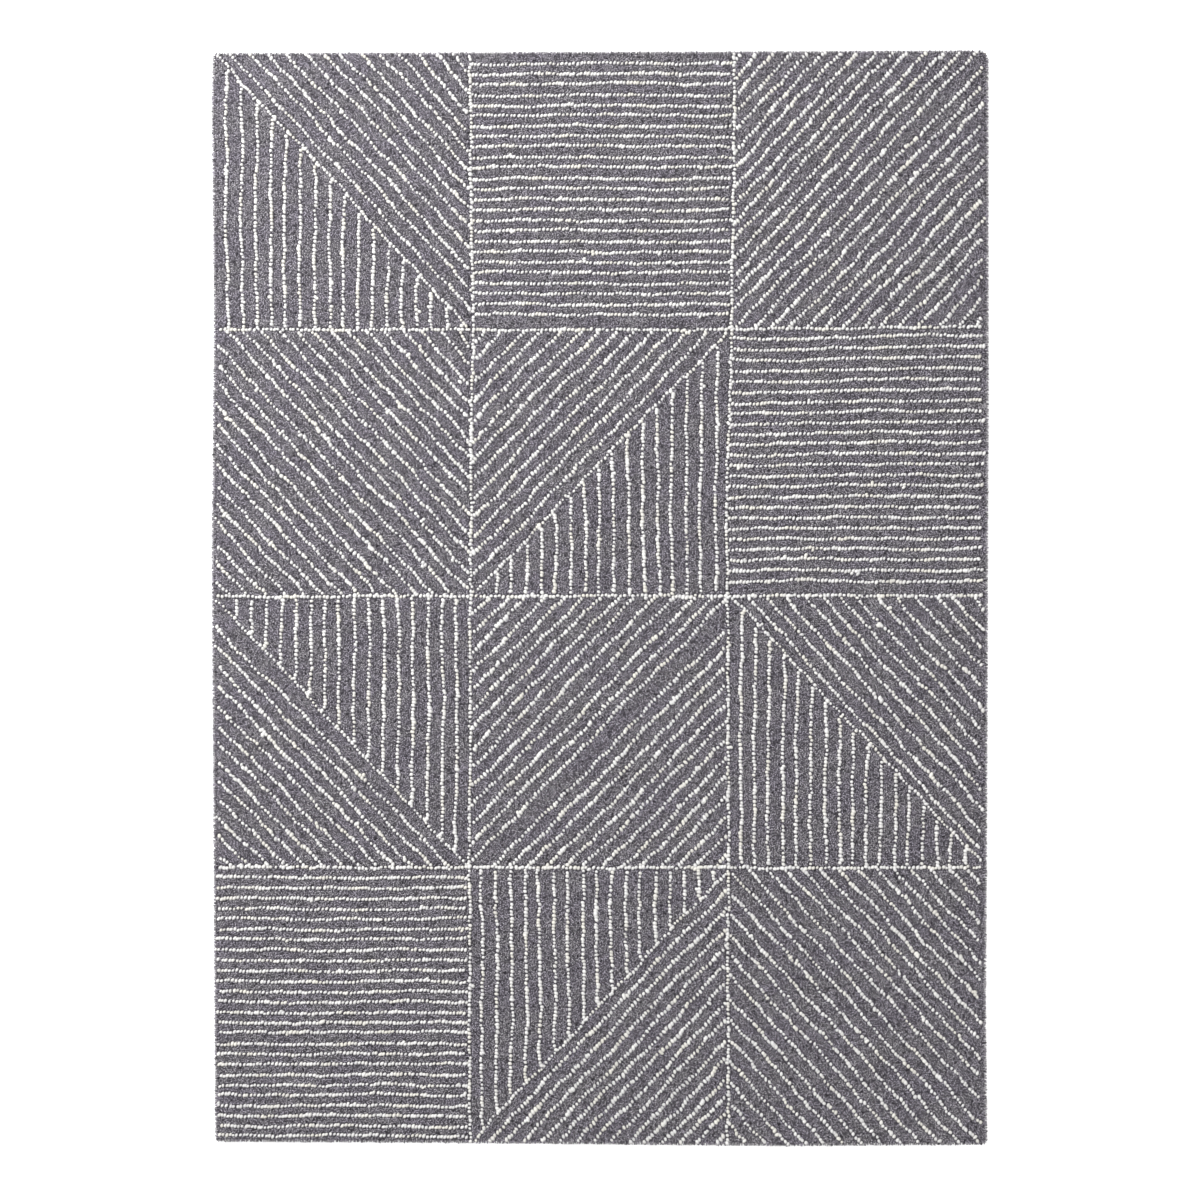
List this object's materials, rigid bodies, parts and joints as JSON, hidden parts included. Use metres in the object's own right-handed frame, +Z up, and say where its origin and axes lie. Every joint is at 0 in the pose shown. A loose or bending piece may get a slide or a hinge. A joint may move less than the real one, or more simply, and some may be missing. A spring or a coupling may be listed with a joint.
{
  "type": "area rug",
  "caption": "Rectangular hand-tufted wool rug with a tiled pattern of raised ivory lines on grey, cloth-backed and taped, folding in half and at both ends.",
  "frame": {"origin": "bottom centre of the rug lying flat, on the floor", "axes": "+Z up out of the pile, +Y along the rug's length towards its north end, +X across its width to the east"},
  "size_m": [1.7, 2.4, 0.01],
  "materials": {
    "ground_wool": "grey and grey-violet wool loop pile, matt",
    "ivory_wool": "ivory wool loop pile, thicker yarn, matt",
    "tufting_cloth": "plain woven polycotton, matt",
    "latex": "dried latex, satin",
    "backing_cloth": "coarse plain woven cotton, matt",
    "tape_cloth": "woven cotton tape with a herringbone weave, matt",
    "stitch_thread": "waxed cotton thread, matt",
    "label_cloth": "woven blank satin label"
  },
  "bodies": {
    "row_2": {"edge_tape_east_row_2": "tape_cloth", "edge_tape_west_row_2": "tape_cloth", "ground_pile_r2c1": "ground_wool", "ground_pile_r2c2": "ground_wool", "ground_pile_r2c3": "ground_wool", "ivory_column_lines_row_2": "ivory_wool", "ivory_lines_r2c1": "ivory_wool", "ivory_lines_r2c2": "ivory_wool", "ivory_lines_r2c3": "ivory_wool", "ivory_row_line_1": "ivory_wool", "ivory_row_line_2": "ivory_wool", "latex_coat_row_2": "latex", "primary_backing_row_2": "tufting_cloth", "secondary_backing_row_2": "backing_cloth", "tape_stitching_row_2": "stitch_thread"},
    "row_1": {"edge_tape_east_row_1": "tape_cloth", "edge_tape_north": "tape_cloth", "edge_tape_west_row_1": "tape_cloth", "ground_pile_r1c1": "ground_wool", "ground_pile_r1c2": "ground_wool", "ground_pile_r1c3": "ground_wool", "ivory_column_lines_row_1": "ivory_wool", "ivory_lines_r1c1": "ivory_wool", "ivory_lines_r1c2": "ivory_wool", "ivory_lines_r1c3": "ivory_wool", "latex_coat_row_1": "latex", "primary_backing_row_1": "tufting_cloth", "secondary_backing_row_1": "backing_cloth", "tape_stitching_row_1": "stitch_thread"},
    "row_3": {"edge_tape_east_row_3": "tape_cloth", "edge_tape_west_row_3": "tape_cloth", "ground_pile_r3c1": "ground_wool", "ground_pile_r3c2": "ground_wool", "ground_pile_r3c3": "ground_wool", "ivory_column_lines_row_3": "ivory_wool", "ivory_lines_r3c1": "ivory_wool", "ivory_lines_r3c2": "ivory_wool", "ivory_lines_r3c3": "ivory_wool", "ivory_row_line_3": "ivory_wool", "latex_coat_row_3": "latex", "primary_backing_row_3": "tufting_cloth", "secondary_backing_row_3": "backing_cloth", "tape_stitching_row_3": "stitch_thread"},
    "row_4": {"care_label": "label_cloth", "care_label_stitches": "stitch_thread", "edge_tape_east_row_4": "tape_cloth", "edge_tape_south": "tape_cloth", "edge_tape_west_row_4": "tape_cloth", "ground_pile_r4c1": "ground_wool", "ground_pile_r4c2": "ground_wool", "ground_pile_r4c3": "ground_wool", "ivory_column_lines_row_4": "ivory_wool", "ivory_lines_r4c1": "ivory_wool", "ivory_lines_r4c2": "ivory_wool", "ivory_lines_r4c3": "ivory_wool", "latex_coat_row_4": "latex", "primary_backing_row_4": "tufting_cloth", "secondary_backing_row_4": "backing_cloth", "tape_stitching_row_4": "stitch_thread"}
  },
  "joints": [
    {"name": "north_end_fold", "type": "hinge", "parent": "row_2", "child": "row_1", "pos_m": [0, 0.607, 0.011], "axis": [1, 0, 0], "range_deg": [0, 179.9]},
    {"name": "middle_fold", "type": "hinge", "parent": "row_2", "child": "row_3", "pos_m": [0, -0.006, 0.0245], "axis": [-1, 0, 0], "range_deg": [0, 179.9]},
    {"name": "south_end_fold", "type": "hinge", "parent": "row_3", "child": "row_4", "pos_m": [0, -0.607, 0.011], "axis": [-1, 0, 0], "range_deg": [0, 179.9]}
  ]
}
